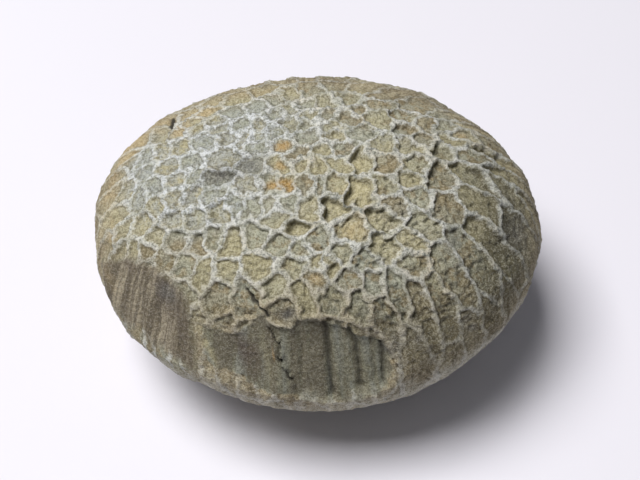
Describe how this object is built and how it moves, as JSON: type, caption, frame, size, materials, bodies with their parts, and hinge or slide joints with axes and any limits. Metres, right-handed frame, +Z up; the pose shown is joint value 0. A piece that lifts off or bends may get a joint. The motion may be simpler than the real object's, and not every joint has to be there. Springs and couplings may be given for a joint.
{
  "type": "fossil coral head",
  "caption": "Rounded cobble of fossil honeycomb coral with raised walls round sunken cells, streaked sides, a broken front rim and a flat base to rest on.",
  "frame": {"origin": "middle of the bounding box in X and Y, on the plane of the flat base", "axes": "+Z up through the crown, +X along the longest side, -Y towards the broken front rim"},
  "size_m": [0.064, 0.0556, 0.0357],
  "materials": {
    "coral_stone": "matt weathered limestone, whitish walls round olive grey fillings"
  },
  "bodies": {
    "root": {"coral_head": "coral_stone"}
  },
  "joints": []
}
